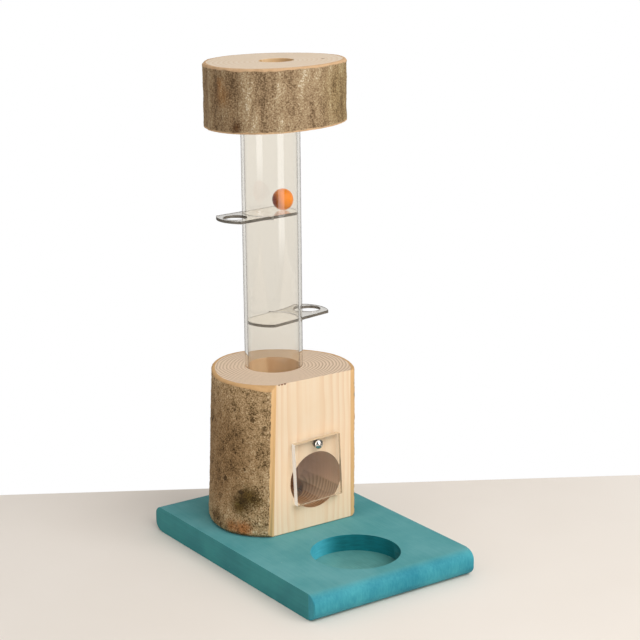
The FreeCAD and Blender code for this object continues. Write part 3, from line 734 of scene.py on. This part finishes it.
stump_lobes = ((2, 0.0026, 130), (3, 0.0013, -39), (4, 0.0015, 15))
stump_foot = Vector((-0.002, 0.0505, 0.0279))
stump_top = Vector((0.001, 0.049, 0.187))
stump_foot_radius = 0.0759
stump_top_radius = 0.0731
stump_height = stump_top.z - stump_foot.z
stump_bevel = 0.0014
stump_scoop = 0.004
stump_scoop_angle = math.radians(225)
stump_scoop_width = 0.3
stump_turned_in = 0.0022
stump_sunk = 0.0004
pit_mm = 4.2
pit_depth = 0.0016
pit_shift = Vector((7, 3, 1))
pits_rarer = 0.28
deepest_cut = bark_thickness - 0.0004
stump_columns = 480
stump_rows = 163


def stump_outline(angle, share, inset):
    mean = stump_foot_radius + (stump_top_radius - stump_foot_radius) * share
    way = Vector((math.cos(angle), math.sin(angle), 0))
    out = lobed_radius(angle, mean, stump_lobes) - inset
    return stump_foot.lerp(stump_top, share) + way * out


def stump_relief(skin):
    """Lumps and pits of young bark, a millimetre or so deep, and its foot turned in."""
    foot = max(0.0, stump_turned_in - (skin.z - stump_foot.z))
    broad = bumps(skin, 35, 0.0005) - foot
    lumps = bumps(skin, 7, 0.0004)
    grain = bumps(skin, 2.6, 0.0004)
    pits = max(0.0, noise.noise(skin * 1000 / pit_mm + pit_shift) - pits_rarer) * pit_depth
    return broad + lumps + grain - pits - stump_sunk


def stump_shaving(angle, share):
    """A knife's bevel on the upper arris, deeper at the left end of the planed front."""
    around = Vector((math.cos(angle), math.sin(angle), 0))
    uneven = noise.noise(around * 3.0) * 0.0005 + noise.noise(around * 14.0) * 0.0002
    off_scoop = (angle - stump_scoop_angle) / stump_scoop_width
    scoop = stump_scoop * math.exp(-(off_scoop**2))
    below = (1 - share) * stump_height
    return min(stump_bevel + uneven + scoop - below, deepest_cut - 0.3 * below)


def bark_skin(name, tones, inner, stretch, mottle_mm, weights, scar_mm, spots):
    """Bark: matt, speckled and mottled, tan where a blade has shaved it, with painted shade in its
    pits.

    weights are the shares of the speckle, the mottle and the broad bands in the tone. scar_mm is
    the spacing of the corky scars, or nothing where the bark has none. Real bark is speckled more
    finely than a render shows, so the speckle is drawn 1.5 mm wide.
    """
    speckle_mm = 1.5
    broad_mm = 22
    painted_relief_shade = 150.0

    # How far noise drags the outlines of scars and spots, in metres.
    ragged = (0.006, 0.006, 0.006)
    crumbly = (0.005, 0.005, 0.005)
    scatter = (0.012, 0.012, 0.012)
    finish, tree, place = new_finish(name, Roughness=0.85, Specular_IOR_Level=0.2)
    upright = add(tree, "ShaderNodeMapping", {"Vector": place, "Scale": (1, 1, 1 / stretch)})
    speckle = add(
        tree,
        "ShaderNodeTexNoise",
        {"Vector": place, "Scale": 1000 / speckle_mm, "Detail": 2.0, "Roughness": 0.6},
    )
    mottle = add(
        tree,
        "ShaderNodeTexNoise",
        {"Vector": upright, "Scale": 1000 / mottle_mm, "Detail": 4.0, "Roughness": 0.6},
    )
    broad = add(
        tree, "ShaderNodeTexNoise", {"Vector": upright, "Scale": 1000 / broad_mm, "Detail": 2.0}
    )
    lift = add(tree, "ShaderNodeAttribute", attribute_name="stand_out").outputs["Fac"]
    tone = 0.5 - sum(weights) / 2
    for field, weight in zip((speckle, mottle, broad), weights):
        tone = add(
            tree, "ShaderNodeMath", {0: field, 1: weight, 2: tone}, operation="MULTIPLY_ADD"
        )
    # Painted shade and light: the tone darkens where the skin lies low, in pits and at the
    # turned-in foot, and lightens where it stands out.
    tone = add(
        tree, "ShaderNodeMath", {0: lift, 1: painted_relief_shade, 2: tone}, operation="MULTIPLY_ADD"
    )
    skin = add(
        tree,
        "ShaderNodeValToRGB",
        {"Fac": tone},
        stops=[(0.1, tones[0]), (0.38, tones[1]), (0.62, tones[2]), (0.92, tones[3])],
    )
    strayed = add(
        tree,
        "ShaderNodeVectorMath",
        {0: mottle.outputs["Color"], 1: ragged, 2: place},
        operation="MULTIPLY_ADD",
    )
    if scar_mm:
        crumbled = add(
            tree,
            "ShaderNodeVectorMath",
            {0: speckle.outputs["Color"], 1: crumbly, 2: strayed},
            operation="MULTIPLY_ADD",
        )
        scars = add(tree, "ShaderNodeTexVoronoi", {"Vector": crumbled, "Scale": 1000 / scar_mm})
        rare = add(tree, "ShaderNodeSeparateColor", {"Color": scars.outputs["Color"]})
        size = add(
            tree,
            "ShaderNodeMapRange",
            {"Value": rare, "From Min": 0.35, "From Max": 1.0, "To Min": 0.0, "To Max": 0.4},
        )
        scarred = add(tree, "ShaderNodeMath", {0: size, 1: scars}, operation="SUBTRACT")
        scarred = add(
            tree,
            "ShaderNodeMapRange",
            {"Value": scarred, "From Min": -0.03, "From Max": 0.07, "To Max": 0.8},
            interpolation_type="SMOOTHSTEP",
        )
        skin = add(
            tree, "ShaderNodeMix", {"Factor": scarred, "A": skin, "B": tones[0]}, data_type="RGBA"
        )
    scattered = add(
        tree,
        "ShaderNodeVectorMath",
        {0: speckle.outputs["Color"], 1: scatter, 2: strayed},
        operation="MULTIPLY_ADD",
    )
    mean_stray = (Vector(ragged) + Vector(scatter)) / 2
    spots = [(centre + mean_stray, *rest) for centre, *rest in spots]
    skin = spotted(tree, skin, scattered, spots)
    bast = add(
        tree, "ShaderNodeMix", {"Factor": mottle, "A": inner[0], "B": inner[1]}, data_type="RGBA"
    )
    shaved = add(tree, "ShaderNodeAttribute", attribute_name="shaved").outputs["Fac"]
    cut = add(
        tree,
        "ShaderNodeMapRange",
        {"Value": shaved, "From Min": 0.3, "From Max": 0.7},
        interpolation_type="SMOOTHSTEP",
    )
    base = add(tree, "ShaderNodeMix", {"Factor": cut, "A": skin, "B": bast}, data_type="RGBA")
    dress(tree, base, speckle, 0.0004)
    return finish


# Places on the stump's bark, each a centre, a radius, a soft edge and a tint: painted shade on its
# left side, three patches of moss, two of rust and one that is damp.
stump_marks_and_shade = [
    # Painted shade: this spot darkens the left side of the bark.
    (Vector((-0.080, 0.060, 0.107)), 0.034, 0.050, "#D2C9BD"),
    (Vector((-0.066, 0.012, 0.070)), 0.004, 0.014, "#8C845C"),
    (Vector((-0.071, 0.020, 0.060)), 0.003, 0.014, "#8C845C"),
    (Vector((-0.060, 0.004, 0.066)), 0.001, 0.010, "#A89E7C"),
    (Vector((-0.069, 0.017, 0.0345)), 0.003, 0.011, "#F2BE98"),
    (Vector((-0.075, 0.030, 0.0355)), 0.001, 0.011, "#E8BC98"),
    (Vector((-0.078, 0.056, 0.040)), 0.001, 0.014, "#A89C84"),
]

# Young bark is dry and matt, with a fine mottle and corky scars a few millimetres across. Moss
# darkens it near the foot, and it has rusted in the wet below that.
stump_skin = bark_skin(
    "mottled bark of a young trunk",
    ("#503C21", "#A38660", "#C1A37C", "#E8D8B6"),
    ("#D6AF80", "#BE925E"),
    1.15,
    8,
    (1.5, 0.7, 0.35),
    9,
    stump_marks_and_shade,
)


def inner_bark(name, light, dark):
    """Inner bark cut by a plane: satiny tan, drawn out into upright threads.

    Real threads are finer than a render shows, so they are drawn 1.5 mm wide.
    """
    thread_mm = (1.5, 1.5, 40)
    finish, tree, place = new_finish(name, Roughness=0.5, Specular_IOR_Level=0.3)
    along = add(
        tree,
        "ShaderNodeMapping",
        {"Vector": place, "Scale": tuple(1000 / size for size in thread_mm)},
    )
    threads = add(tree, "ShaderNodeTexNoise", {"Vector": along, "Scale": 1.0, "Detail": 4.0})
    base = add(
        tree, "ShaderNodeMix", {"Factor": threads, "A": light, "B": dark}, data_type="RGBA"
    )
    dress(tree, base, threads, 0.0001)
    return finish


# Inner bark is denser than the wood beside it, so the plane leaves it warm and a little glossy.
stump_bast = inner_bark("tan inner bark, planed through", "#E8C08A", "#D2A168")

bark = bark_ring(stump_columns, stump_rows, stump_outline, stump_relief, stump_shaving)
cut = bmesh.ops.bisect_plane(
    bark,
    geom=bark.verts[:] + bark.edges[:] + bark.faces[:],
    dist=cut_distance,
    plane_co=(0, flat_y, 0),
    plane_no=(0, -1, 0),
    clear_outer=True,
)
rims = [item for item in cut["geom_cut"] if isinstance(item, bmesh.types.BMEdge)]
strips = bmesh.ops.holes_fill(bark, edges=rims, sides=0)
for face in strips["faces"]:
    face.material_index = 1
keep_piece(
    bark,
    "stump_bark_skin",
    [stump_skin, stump_bast],
    "stand",
    "stump_bark",
    sharp_above=60,
    even=False,
)

# Base screws: four countersunk wood screws, zinc plated, driven up through the board into the
# log.


def plated(name, light, dark, roughness, spangle_mm):
    """Plated steel: a metal, a little uneven in tone from one crystal to the next."""
    finish, tree, place = new_finish(name, Roughness=roughness, Metallic=1.0)
    spangle = add(
        tree, "ShaderNodeTexNoise", {"Vector": place, "Scale": 1000 / spangle_mm, "Detail": 3.0}
    )
    base = add(
        tree, "ShaderNodeMix", {"Factor": spangle, "A": light, "B": dark}, data_type="RGBA"
    )
    dress(tree, base, spangle, 0.00001)
    return finish


# Zinc plating is a soft bluish grey, dull beside nickel. Its crystals are drawn coarser than they
# are, because real ones are too fine to show.
zinc = plated("zinc plating", "#C9CBCC", "#A9ABAE", 0.35, 2)
screw_soft = 0.0001
screws = copy_of_node("base_screws")
soften(screws, screw_soft, 50)
keep_piece(
    screws,
    "base_screws_zinc",
    [zinc],
    "stand",
    "base_screws",
    sharp_above=40,
)

# Feed tube: cast acrylic, 60 mm outside with a 3 mm wall, glued into the log and the block. A
# straight saw cut from each side takes a slide.

tube_radius = 0.030
tube_wall = 0.003
tube_low, tube_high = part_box("tube")
tube_middle = bore_middle
slot_inner = 0.0173
slot_height = 0.0034
slot_clearance = 0.0002
tube_steps = 360
slots = (
    (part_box("upper_slide")[0].z - slot_clearance, math.radians(186)),
    (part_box("lower_slide")[0].z - slot_clearance, math.radians(11.5)),
)

tube = bmesh.new()
section = [
    tube.verts.new(tube_middle + Vector((radius, 0, z)))
    for radius, z in (
        (tube_radius, tube_low.z),
        (tube_radius, tube_high.z),
        (tube_radius - tube_wall, tube_high.z),
        (tube_radius - tube_wall, tube_low.z),
    )
]
for start, end in zip(section, section[1:] + section[:1]):
    tube.edges.new((start, end))
bmesh.ops.spin(
    tube,
    geom=tube.verts[:] + tube.edges[:],
    cent=tube_middle,
    axis=(0, 0, 1),
    angle=math.tau,
    steps=tube_steps,
    use_merge=True,
)
for slot_z, turn in slots:
    slot_way = Vector((math.cos(turn), math.sin(turn), 0))
    for level_z in (slot_z, slot_z + slot_height):
        bmesh.ops.bisect_plane(
            tube,
            geom=tube.verts[:] + tube.edges[:] + tube.faces[:],
            dist=cut_distance,
            plane_co=(0, 0, level_z),
            plane_no=(0, 0, 1),
        )
    kerf = [
        face for face in tube.faces if 0 < face.calc_center_median().z - slot_z < slot_height
    ]
    bmesh.ops.bisect_plane(
        tube,
        geom=list({part for face in kerf for part in (face, *face.edges, *face.verts)}),
        dist=cut_distance,
        plane_co=tube_middle + slot_way * slot_inner,
        plane_no=slot_way,
    )
    sawn_out = [
        face
        for face in tube.faces
        if 0 < face.calc_center_median().z - slot_z < slot_height
        and (face.calc_center_median() - tube_middle).dot(slot_way) > slot_inner
    ]
    bmesh.ops.delete(tube, geom=sawn_out, context="FACES")
    rims = [edge for edge in tube.edges if edge.is_boundary]
    for face in bmesh.ops.bridge_loops(tube, edges=rims)["faces"]:
        face.material_index = 1
bmesh.ops.recalc_face_normals(tube, faces=tube.faces[:])


def clear_acrylic(name, tint, rim, rim_from, rim_to, roughness=0.0):
    """Clear acrylic: glass-sharp gloss, its tint going over to the rim tone where it is looked at
    edgewise. A pale rim is a deeper tint; a dark rim is a painted dark line.

    Rays from the lamp, and light on its way from one dull surface to the next, pass straight
    through, as they do through a real clear wall.
    """
    handled_mm = 70
    finish, tree, place = new_finish(name, Roughness=roughness, IOR=1.49, Transmission_Weight=1.0)
    shader = tree.nodes["Principled BSDF"]
    handled = add(
        tree, "ShaderNodeTexNoise", {"Vector": place, "Scale": 1000 / handled_mm, "Detail": 2.0}
    )
    body = add(
        tree, "ShaderNodeMix", {"Factor": handled, "A": tint, "B": "#F4F0E8"}, data_type="RGBA"
    )
    edgewise = add(tree, "ShaderNodeLayerWeight", {"Blend": 0.5}).outputs["Facing"]
    share = add(
        tree,
        "ShaderNodeMapRange",
        {"Value": edgewise, "From Min": rim_from, "From Max": rim_to},
        interpolation_type="SMOOTHSTEP",
    )
    body = add(tree, "ShaderNodeMix", {"Factor": share, "A": body, "B": rim}, data_type="RGBA")
    feed(tree, shader.inputs["Base Color"], body)
    path = add(tree, "ShaderNodeLightPath")
    lets_by = add(
        tree,
        "ShaderNodeMath",
        {0: path.outputs["Is Shadow Ray"], 1: path.outputs["Is Diffuse Ray"]},
        operation="MAXIMUM",
    )
    clear = add(tree, "ShaderNodeBsdfTransparent", {"Color": "#FFFFFF"})
    both = add(tree, "ShaderNodeMixShader", {0: lets_by, 1: shader, 2: clear})
    feed(tree, tree.nodes["Material Output"].inputs["Surface"], both)
    return finish


def sawn_acrylic(name, light, dark):
    """Sawn acrylic: dull from fine saw marks, in two given tones; dark tones paint an edge's shade,
    so that it reads as a dark line.

    Real saw marks are half a millimetre apart, too fine to show, so they are drawn coarser.
    """
    mark_mm = 9
    finish, tree, place = new_finish(name, Roughness=0.35, IOR=1.49, Transmission_Weight=0.35)
    marks = add(
        tree, "ShaderNodeTexNoise", {"Vector": place, "Scale": 1000 / mark_mm, "Detail": 4.0}
    )
    base = add(tree, "ShaderNodeMix", {"Factor": marks, "A": light, "B": dark}, data_type="RGBA")
    dress(tree, base, marks, 0.00005)
    return finish


# Acrylic tube is glass-clear, nearly colourless with a warm cast.
tube_acrylic = clear_acrylic("clear acrylic tube", "#F5F1EA", "#D2CCC0", 0.7, 1.0)

# Its ends and slots are sawn, so they are grey and dull.
tube_sawn = sawn_acrylic("sawn edge of the acrylic tube", "#CFC9BE", "#A39C90")

# A dark line is painted down both sides of its bore, where the eye looks along the inner wall: a
# painted reflection of the dark the real wall shows there.
tube_inside = clear_acrylic("clear acrylic tube, inside", "#F5F1EA", "#1E1B16", 0.6, 0.88)
wall_middle = tube_radius - tube_wall / 2
for face in tube.faces:
    out = (face.calc_center_median() - tube_middle).to_2d().length
    if face.material_index == 0 and out < wall_middle and abs(face.normal.z) < 0.5:
        face.material_index = 2
keep_piece(
    tube,
    "feed_tube",
    [tube_acrylic, tube_sawn, tube_inside],
    "stand",
    "tube",
    even=False,
)

# Slides: two tongues of 3 mm clear acrylic sheet, each with a rounded nose and a finger hole.
# They lie loose in the tube's saw cuts and hold the treats back until they are drawn.

# Sheet acrylic is clearer than the tube, with the same hard gloss.
sheet_acrylic = clear_acrylic("clear acrylic sheet", "#FAF8F4", "#D8D2C8", 0.9, 1.0)

# Its sawn edge is painted dark, as the shade it shows edgewise, so it reads as a dark line.
sheet_sawn_shaded = sawn_acrylic("sawn edge of the acrylic sheet, painted dark", "#8A8276", "#453F36")
sheet_soft = 0.00025
for which in ("upper", "lower"):
    slide = copy_of_node(f"{which}_slide")
    soften(slide, sheet_soft, 60)
    for face in slide.faces:
        face.material_index = 1 if abs(face.normal.z) < 0.3 else 0
    keep_piece(
        slide,
        f"{which}_slide_tongue",
        [sheet_acrylic, sheet_sawn_shaded],
        f"{which}_slide",
        f"{which}_slide",
    )

# Top block: a slice of an older branch, sawn a little out of square and bored with a stopped
# seat for the tube and a 35 mm hole to drop treats in.

block_ring_mm = 5.0

# The slice was sanded after sawing, so its end grain is pale and even, with one small dark knot.
block_top_wood = raw_wood(
    "branch wood, sawn and sanded",
    "#EBDAC5",
    "#DFC7AA",
    "#E6CEB2",
    block_ring_mm,
    (2, 2, 2),
    0.6,
    0.00005,
    [(Vector((0.0475, 0.0366, 0.5006)), 0.0012, 0.0016, "#9A7A58")],
)

# The bit has left the bored walls warmer and duller than the sanded faces.
block_bore = raw_wood(
    "branch wood, bored",
    "#E2C49A",
    "#BC9464",
    "#D2AC7C",
    block_ring_mm,
    (4, 4, 30),
    0.6,
    0.0002,
)
fill_middle = Vector((0.008, 0.061, 0))
fill_reach = 0.020
fill_soft = 0.0006


def at_fill_hole(place):
    return (place - fill_middle).to_2d().length < fill_reach


block = copy_of_node("block_wood")
soften(block, fill_soft, 50, at_fill_hole, segments=3)
for face in block.faces:
    face.material_index = 0 if abs(face.normal.z) > 0.9 else 1
keep_piece(
    block, "block_slice", [block_top_wood, block_bore], "stand", "block_wood"
)

# Block bark: older bark with upright ridges, left on all round. A knife has taken its upper and
# lower arris down to the tan inner bark.

block_lobes = ((3, 0.00197, 100),)
block_middle = Vector((0.0048, 0.0624, 0))
block_radius = 0.072
block_foot_z = 0.4375
block_top_z = 0.500
block_bevel = 0.0014
block_limit_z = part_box("block_bark")[1].z
block_columns = 560
block_rows = 83
block_sunk = 0.0006
foot_slope = (0.031, -0.019)
top_slope = (0.019, -0.010)


def block_outline(angle, share, inset):
    way = Vector((math.cos(angle), math.sin(angle), 0))
    offset = way * (lobed_radius(angle, block_radius, block_lobes) - inset)
    foot_z = block_foot_z + foot_slope[0] * offset.x + foot_slope[1] * offset.y
    top_z = block_top_z + top_slope[0] * offset.x + top_slope[1] * offset.y
    level_z = min(foot_z + (top_z - foot_z) * share, block_limit_z)
    return block_middle + offset + Vector((0, 0, level_z))


def block_relief(skin):
    """Upright ridges and furrows, with a crumbly grain over them."""
    ridges = bumps(Vector((skin.x, skin.y, skin.z * 0.2)), 12, 0.0012)
    folds = bumps(Vector((skin.x, skin.y, skin.z * 0.4)), 5, 0.0006)
    grain = bumps(skin, 2.0, 0.0003)
    return ridges + folds + grain - block_sunk


def block_shaving(angle, share):
    """A wavy bevel on the upper arris and a narrow one on the lower."""
    around = Vector((math.cos(angle), math.sin(angle), share))
    uneven = noise.noise(around * 4.0) * 0.001 + noise.noise(around * 12.0) * 0.0008
    height = block_top_z - block_foot_z
    return block_bevel * (0.6 + 0.6 * share) + uneven - min(share, 1 - share) * height


# Places on the block's bark, as on the stump's: painted shade on its left side, two reddish patches
# and a dark one there, and a greener side on the right.
block_marks_and_shade = [
    # Painted shade: this spot darkens the left side of the block's bark.
    (Vector((-0.0640, 0.0600, 0.4700)), 0.022, 0.040, "#F2EEE8"),
    (Vector((-0.0658, 0.0474, 0.4715)), 0.002, 0.014, "#F0DAC0"),
    (Vector((-0.0661, 0.0499, 0.4835)), 0.001, 0.009, "#E4C8A8"),
    (Vector((-0.0607, 0.0290, 0.4425)), 0.001, 0.008, "#A08468"),
    (Vector((0.0600, 0.0150, 0.4700)), 0.020, 0.045, "#F3F4E2"),
]

# Older bark is greyer and crumbly, dry and matt, in soft upright ridges.
block_skin = bark_skin(
    "ridged bark of an older branch",
    ("#5F4A33", "#977D5E", "#B49D7B", "#E8DCC4"),
    ("#D9B690", "#BE966C"),
    4.5,
    5,
    (1.3, 0.6, 0.45),
    None,
    block_marks_and_shade,
)
keep_piece(
    bark_ring(block_columns, block_rows, block_outline, block_relief, block_shaving),
    "block_bark_skin",
    [block_skin],
    "stand",
    "block_bark",
    sharp_above=60,
    even=False,
)

# Treat ball: an orange pressed treat, 22 mm across, smooth and a little waxy. It lies loose on
# the upper slide.

ball_low, ball_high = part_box("treat_ball")
dent_mm = 6
dent_share = 0.002
ball = bmesh.new()
bmesh.ops.create_icosphere(ball, subdivisions=5, radius=(ball_high.x - ball_low.x) / 2)
for vert in ball.verts:
    vert.co *= 1 - dent_share * abs(noise.noise(vert.co * 1000 / dent_mm))
bmesh.ops.translate(ball, verts=ball.verts[:], vec=(ball_low + ball_high) / 2)

# A pressed treat takes a shine like a waxed bead, over a mealy grain that is drawn coarser than it
# is, because the real one is too fine to show. Its left side is painted darker, as shade.
mealy_mm = 3
pressed, tree, place = new_finish(
    "orange pressed treat", Roughness=0.3, Specular_IOR_Level=0.12
)
grain = add(
    tree, "ShaderNodeTexNoise", {"Vector": place, "Scale": 1000 / mealy_mm, "Detail": 4.0}
)
orange = add(
    tree, "ShaderNodeMix", {"Factor": grain, "A": "#FF9A0A", "B": "#F08006"}, data_type="RGBA"
)
# Painted shade: a brown tint darkens the left side of the ball.
painted_shade_centre = (ball_low + ball_high) / 2 + Vector((-0.0105, 0.002, -0.001))
painted_shade_ball = spotted(tree, orange, place, [(painted_shade_centre, 0.003, 0.011, "#80502C")])
dress(tree, painted_shade_ball, grain, 0.00006)
keep_piece(ball, "treat", [pressed], "treat", "treat_ball", even=False)

# Flap washer: a short spacer of clear moulded plastic. It sits on the screw behind the flap and
# keeps the flap off the wood, so that it swings freely.

# Moulded plastic has a duller skin than cast sheet, so the spacer is faintly hazy.
spacer_plastic = clear_acrylic("clear moulded spacer", "#F2F0EC", "#C8C4BC", 0.9, 1.0, 0.15)
washer_soft = 0.00015
washer = copy_of_node("flap_washer")
soften(washer, washer_soft, 60)
keep_piece(washer, "flap_spacer", [spacer_plastic], "stand", "flap_washer")

# Flap: a plate of 6 mm clear acrylic with polished edges. It hangs on one screw in front of the
# window, and a beak pushes it aside.

# Thick plate is the clearest piece of all, with a hard gloss on both faces.
flap_acrylic = clear_acrylic("clear acrylic plate", "#FDFCFA", "#F2F0EA", 0.92, 1.0)


def plate_edge(name, light, dark, glow):
    """Polished edge of clear plate: glossy and a little uneven, with a painted glow of the strength
    given.
    """
    polish_mm = 9
    finish, tree, place = new_finish(
        name,
        Roughness=0.15,
        IOR=1.49,
        Transmission_Weight=0.2,
        Emission_Color=colour("#FFFBF2"),
        Emission_Strength=glow,
    )
    marks = add(
        tree, "ShaderNodeTexNoise", {"Vector": place, "Scale": 1000 / polish_mm, "Detail": 4.0}
    )
    base = add(tree, "ShaderNodeMix", {"Factor": marks, "A": light, "B": dark}, data_type="RGBA")
    dress(tree, base, marks, 0.00003)
    return finish


# The left edge has a painted glow, white against the wood; it stands in for the light a real edge
# gathers inside the plate.
glowing_edge = plate_edge("polished edge of clear plate, painted bright", "#FFFFFF", "#D8CDBC", 0.25)

# The other edges have no glow; the tone of the wood behind them is painted on, as a painted
# reflection of it through the plate.
wood_toned_edge = plate_edge("polished edge of clear plate, painted wood tone", "#EED9BA", "#D8BC96", 0.0)
screw_middle = (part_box("flap_screw")[0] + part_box("flap_screw")[1]) / 2
hole_reach = 0.004
flap_soft = 0.0004
flap = copy_of_node("flap")
soften(flap, flap_soft, 60)
# Side edges facing left take the painted glow; the other side edges take the painted wood tone.
for face in flap.faces:
    from_screw = face.calc_center_median() - screw_middle
    if abs(face.normal.y) < 0.9 and math.hypot(from_screw.x, from_screw.z) > hole_reach:
        face.material_index = 1 if face.normal.x < -0.6 else 2
keep_piece(
    flap, "flap_plate", [flap_acrylic, glowing_edge, wood_toned_edge], "flap", "flap"
)

# Flap screw: a domed cross-head screw of nickel-plated steel. It is driven through the flap and
# its spacer into the log, and the flap swings on its shank.

# Nickel plating over polished steel mirrors the studio, bright with dark streaks. As on zinc, its
# crystals are drawn coarser than they are.
nickel = plated("bright nickel plating", "#E4E2DE", "#CFCCC6", 0.12, 1.5)
screw = copy_of_node("flap_screw")
soften(screw, screw_soft, 50)
keep_piece(
    screw,
    "flap_screw_bright",
    [nickel],
    "stand",
    "flap_screw",
    sharp_above=40,
)
